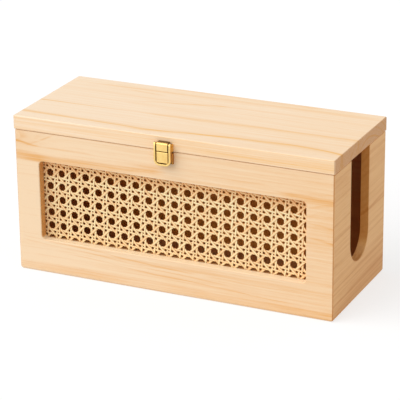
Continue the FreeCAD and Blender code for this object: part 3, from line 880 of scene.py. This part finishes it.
def makeCane():
    finish = makeCaneFinish()
    sheet = cane["sheet"]
    straight = cane["straight"]
    slanting = cane["slanting"]
    columns = math.floor((sheet["Right"] - sheet["Left"]) / sheet["Pitch X"]) + 1
    rows = math.floor((sheet["High"] - sheet["Low"]) / sheet["Pitch Z"]) + 1
    slants = columns + rows + 1
    uprights = weave("cane_uprights", pairLay("X", "Low", "High"), pairWave("X", "Z", -1.0),
                     2 * columns, 0, straight, finish)
    weave("cane_levels", pairLay("Z", "Left", "Right"), pairWave("Z", "X", 1.0),
          2 * rows, 0, straight, finish)
    weave("cane_rising", slantLay(1.0), slantWave(-1.0), slants, -columns, slanting, finish)
    weave("cane_falling", slantLay(-1.0), slantWave(1.0), slants, 0, slanting, finish)
    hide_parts("cane_webbing")


makeCane()
print("cane woven")


brassTone = {
    # the first tone is painted shade for the latch's upward faces, low and high are a painted reflection of
    # the wood on its sides, and shade is painted shade behind the flap
    "upShadeTone": srgb(168, 108, 40), "low": srgb(186, 124, 48), "high": srgb(232, 178, 84),
    "shade": srgb(96, 66, 26), "upShade": 0.55, "bump": 0.25, "bumpDepth": 0.03 * mm,
    "marks": (5200.0, 5200.0, 260.0), "cloud": 220.0, "spots": 900.0,          # waves in a metre
}


def makeBrassGroup():
    # drawn brass: fine rubbing marks and a little tarnish, with painted shade on upward faces and behind the
    # flap, and a painted reflection of the wood on its sides
    tree, given, made = newTree(
        "drawnBrass", "ShaderNodeTree",
        {
            "Place": "Vector", "Bright": white, "Deep": white, "Tarnish": 0.25, "Front": 0.0,
            "Middle": 0.0, "Half": 1.0, "Seam": 0.0, "Upward": 0.0, "Hollow": 0.0,
        },
        {"Color": "Color", "Roughness": "Float", "Height": "Float"},
    )
    parts = partsOf(tree, given["Place"])
    marks = vectorOf(tree, *[times(tree, part, rate) for part, rate in zip(parts, brassTone["marks"])])
    rubbing = minus(tree, noiseOf(tree, marks), 0.5)
    cloud = noiseOf(tree, given["Place"], 3.0, 0.6, brassTone["cloud"])
    spots = ease(tree, noiseOf(tree, given["Place"], 2.0, 0.5, brassTone["spots"]), 0.62, 0.74)
    amount = times(tree, ease(tree, cloud, 0.38, 0.72), given["Tarnish"])
    amount = timesPlus(tree, spots, 0.18, timesPlus(tree, rubbing, 0.25, amount))
    colour = mixColour(tree, clamped(tree, amount), given["Bright"], given["Deep"])
    # painted shade: on the latch, faces turned upward are darker
    upShade = ease(tree, given["Upward"], 0.3, 0.9, 0.0, brassTone["upShade"])
    colour = mixColour(tree, times(tree, upShade, given["Hollow"]), colour, brassTone["upShadeTone"])

    # painted shade behind the flap's front, darkest between its sides; beside them a painted reflection of
    # the wood, brighter above the seam
    behind = ease(tree, minus(tree, parts[1], given["Front"]), 0.7 * mm, 3.0 * mm)
    off = calc(tree, "ABSOLUTE", minus(tree, parts[0], given["Middle"]))
    within = ease(tree, minus(tree, given["Half"], off), 0.1 * mm, 0.5 * mm)
    above = ease(tree, minus(tree, parts[2], given["Seam"]), -0.5 * mm, 1.5 * mm)
    outside = mixColour(tree, above, brassTone["low"], brassTone["high"])
    dark = mixColour(tree, within, outside, brassTone["shade"])
    colour = mixColour(tree, times(tree, behind, given["Hollow"]), colour, dark)
    rough = timesPlus(tree, rubbing, 0.22, timesPlus(tree, cloud, 0.16, 0.34))
    height = timesPlus(tree, spots, -0.4, rubbing)
    fill(tree, made, {"Color": colour, "Roughness": rough, "Height": height})
    return tree


brassGroup = makeBrassGroup()


def brassFor(name, bright, deep, tarnish, shadeBehind):
    material, tree, shader = newMaterial(name)
    spot = tree.nodes.new("ShaderNodeTexCoord").outputs
    low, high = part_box("latch_flap")
    brass = useGroup(tree, brassGroup, Place=spot["Object"], Bright=bright, Deep=deep, Tarnish=tarnish,
                     Hollow=shadeBehind, Front=low.y, Middle=(low.x + high.x) / 2, Half=(high.x - low.x) / 2,
                     Seam=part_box("lid_board")[0].z, Upward=partsOf(tree, spot["Normal"])[2])
    fill(tree, shader, {
        "Base Color": brass["Color"], "Roughness": brass["Roughness"], "Metallic": 1.0,
        "Normal": bumpOf(tree, brass["Height"], brassTone["bump"], brassTone["bumpDepth"]),
    })
    return material


metals = {
    "latch_brass": brassFor("latchBrass", srgb(246, 212, 136), srgb(206, 148, 66), 0.22, 0.9),
    "hinge_brass": brassFor("hingeBrass", srgb(240, 202, 124), srgb(176, 122, 54), 0.40, 0.0),
}

# Pressed plates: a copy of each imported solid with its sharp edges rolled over.
plates = {
    "latch_flap": {"name": "flap", "body": "latch", "edge": 0.28 * mm, "slot": "latch_brass"},
    "latch_lid_plate": {"name": "lidPlate", "body": "lid", "edge": 0.16 * mm, "slot": "latch_brass"},
    "latch_keeper": {"name": "keeper", "body": "case", "edge": 0.12 * mm, "slot": "latch_brass"},
    "latch_pin": {"name": "flapPin", "body": "lid", "edge": 0.15 * mm, "slot": "latch_brass"},
}
for side in ("left", "right"):
    for part, body in (("case_leaf", "case"), ("lid_leaf", "lid"), ("pin", "case")):
        plates[side + "_hinge_" + part] = {
            "name": side + "Hinge_" + part, "body": body, "edge": 0.14 * mm, "slot": "hinge_brass",
        }
rolled = {"merge": 0.002 * mm, "flat": 1.0, "sharp": 35, "segments": 3}       # angles in degrees


def rolledCopy(node, plate):
    mesh = nodes[node].data.copy()
    for layer in ("custom_normal", "sharp_face"):
        if layer in mesh.attributes:
            mesh.attributes.remove(mesh.attributes[layer])
    shape = bmesh.new()
    shape.from_mesh(mesh)
    bmesh.ops.remove_doubles(shape, verts=shape.verts, dist=rolled["merge"])
    flat = math.radians(rolled["flat"])
    bmesh.ops.dissolve_limit(shape, angle_limit=flat, verts=shape.verts, edges=shape.edges)
    shape.to_mesh(mesh)
    shape.free()
    mesh.name = plate["name"]
    piece = newPiece(plate["name"], mesh)
    bevel = piece.modifiers.new("rolled", "BEVEL")
    bevel.width = plate["edge"]
    bevel.segments = rolled["segments"]
    bevel.limit_method = "ANGLE"
    bevel.angle_limit = math.radians(rolled["sharp"])
    bevel.use_clamp_overlap = True
    settle(piece)
    piece.data.shade_smooth()
    dress(piece, metals[plate["slot"]])
    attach(piece, plate["body"])
    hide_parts(node)


for node, plate in plates.items():
    rolledCopy(node, plate)
print("plates, flap and hinges rolled")


# One screw and one nail are made, and a copy of it is set on every place.
# Widths are shares of the head's radius where they have no unit.
screw = {
    "steps": 28, "rim": 0.93, "rimDepth": 0.06 * mm, "shank": 0.5, "neck": 0.17,     # neck: of its length
    "thread": 0.8 * mm, "threadDepth": 0.16 * mm, "threadEnd": 1.3 * mm, "point": 0.3 * mm, "pointWidth": 0.4,
    "recessWidth": 0.45 * mm, "recessLength": 1.9 * mm, "recessDepth": 0.55 * mm, "recessFoot": 0.55,
    "recessAbove": 0.3 * mm,
}
nail = {
    "steps": 20, "rise": 0.25 * mm, "shank": 0.4, "point": 0.8 * mm,
    "dome": ((0.45, 0.12), (0.8, 0.42), (1.0, 0.8), (1.0, 1.0)),       # radius and height of its rings
}


def solidsOf(node):
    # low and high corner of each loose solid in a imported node
    shape = bmesh.new()
    shape.from_mesh(nodes[node].data)
    bmesh.ops.remove_doubles(shape, verts=shape.verts, dist=rolled["merge"])
    left = set(shape.verts)
    found = []
    while left:
        group = [left.pop()]
        for vert in group:
            for edge in vert.link_edges:
                other = edge.other_vert(vert)
                if other in left:
                    left.remove(other)
                    group.append(other)
        low = Vector([min(v.co[axis] for v in group) for axis in range(3)])
        high = Vector([max(v.co[axis] for v in group) for axis in range(3)])
        found.append((low, high))
    shape.free()
    return sorted(found, key=lambda box: tuple(box[0]))


def turned(profile, steps):
    # a closed shape turned round Y from points (radius, distance along Y)
    shape = bmesh.new()
    angles = [math.tau * step / steps for step in range(steps)]
    rings = []
    for radius, y in profile:
        if radius == 0:
            rings.append([shape.verts.new((0, y, 0))])
        else:
            rings.append([shape.verts.new((radius * math.cos(a), y, radius * math.sin(a))) for a in angles])
    for first, second in zip(rings, rings[1:]):
        for step in range(steps):
            corners = [first[step % len(first)], first[(step + 1) % len(first)],
                       second[(step + 1) % len(second)], second[step % len(second)]]
            shape.faces.new(list(dict.fromkeys(corners)))
    bmesh.ops.recalc_face_normals(shape, faces=shape.faces)
    return shape


def recessBlock(along, wide):
    # one arm of the cross recess, narrower at its foot
    foot = screw["recessFoot"]
    block = bmesh.new()
    top = [block.verts.new((x * along, screw["recessAbove"], z * wide)) for x, z in squareCorners]
    end = [block.verts.new((x * along * foot, -screw["recessDepth"], z * wide * foot))
           for x, z in squareCorners]
    block.faces.new(top)
    block.faces.new(end)
    for step in range(4):
        other = (step + 1) % 4
        block.faces.new((top[step], top[other], end[other], end[step]))
    bmesh.ops.recalc_face_normals(block, faces=block.faces)
    return newPiece("recess", meshFrom(block, "recess"))


def screwMaster(low, high):
    # head at high Y, point at low Y
    head = (high.x - low.x) / 2
    length = high.y - low.y
    shank = head * screw["shank"]
    root = shank - screw["threadDepth"]
    neck = -length * screw["neck"]
    thread = screw["thread"]
    profile = [(0, 0), (head * screw["rim"], 0), (head, -screw["rimDepth"]), (shank, neck)]
    y = neck - thread * 0.5
    while y > screw["threadEnd"] - length:
        profile.extend([(shank, y), (root, y - thread * 0.3), (root, y - thread * 0.6)])
        y -= thread
    profile.extend([(shank, y), (shank * screw["pointWidth"], screw["point"] - length), (0, -length)])
    master = newPiece("screwMaster", meshFrom(turned(profile, screw["steps"]), "screwMaster"))
    arm = screw["recessLength"] / 2
    half = screw["recessWidth"] / 2
    cutters = [recessBlock(arm, half), recessBlock(half * 0.98, arm)]
    for cutter in cutters:
        cut = master.modifiers.new("recess", "BOOLEAN")
        cut.operation = "DIFFERENCE"
        cut.solver = "EXACT"
        cut.object = cutter
    settle(master)
    for cutter in cutters:
        bpy.data.objects.remove(cutter)
    return master


def nailMaster(low, high):
    # round domed head at low Y, shank and point behind it
    head = (high.x - low.x) / 2
    length = high.y - low.y
    shank = head * nail["shank"]
    profile = [(0, 0)] + [(head * radius, nail["rise"] * height) for radius, height in nail["dome"]]
    profile.extend([(shank, nail["rise"]), (shank, length - nail["point"]), (0, length)])
    return newPiece("nailMaster", meshFrom(turned(profile, nail["steps"]), "nailMaster"))


def fastenerTree():
    tree, given, made = newTree(
        "setFasteners", "GeometryNodeTree",
        {"Places": "Geometry", "Master": "Object", "Turn": 1.0, "Seed": 1, "Finish": "Material"},
        {"Geometry": "Geometry"},
    )
    info = addNode(tree, "GeometryNodeObjectInfo", {"Object": given["Master"]}).outputs["Geometry"]
    draw = addNode(tree, "FunctionNodeRandomValue", {"Seed": given["Seed"]}, data_type="FLOAT")
    turn = vectorOf(tree, 0.0, times(tree, draw.outputs[1], given["Turn"]), 0.0)
    setting = {"Points": given["Places"], "Instance": info, "Rotation": turn}
    onto = addNode(tree, "GeometryNodeInstanceOnPoints", setting).outputs[0]
    whole = addNode(tree, "GeometryNodeRealizeInstances", {0: onto}).outputs[0]
    last = addNode(tree, "GeometryNodeSetMaterial", {"Geometry": whole, "Material": given["Finish"]})
    tree.links.new(last.outputs[0], made["Geometry"])
    return tree


screws = {"make": screwMaster, "turn": 3.0, "front": 1, "slot": "hinge_brass"}
nails = {"make": nailMaster, "turn": 0.0, "front": 0, "slot": "latch_brass"}
fasteners = {
    "hinge_case_screws": {"name": "hingeCaseScrews", "body": "case", **screws},
    "hinge_lid_screws": {"name": "hingeLidScrews", "body": "lid", **screws},
    "latch_lid_nails": {"name": "latchLidNails", "body": "lid", **nails},
    "latch_keeper_nails": {"name": "latchKeeperNails", "body": "case", **nails},
}
fastenerSeed = 4


def setFasteners():
    tree = fastenerTree()
    for node, kind in fasteners.items():
        boxes = solidsOf(node)
        master = kind["make"](*boxes[0])
        places = []
        for box in boxes:
            middle = (box[0] + box[1]) / 2
            places.append((middle.x, box[kind["front"]].y, middle.z))
        mesh = bpy.data.meshes.new(kind["name"])
        mesh.from_pydata(places, [], [])
        piece = newPiece(kind["name"], mesh)
        modifier = piece.modifiers.new("set", "NODES")
        modifier.node_group = tree
        fillInputs(modifier, {"Master": master, "Turn": kind["turn"], "Seed": fastenerSeed,
                              "Finish": metals[kind["slot"]]})
        settle(piece)
        bpy.data.objects.remove(master)
        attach(piece, kind["body"])
        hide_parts(node)


setFasteners()
print("screws and nails set")
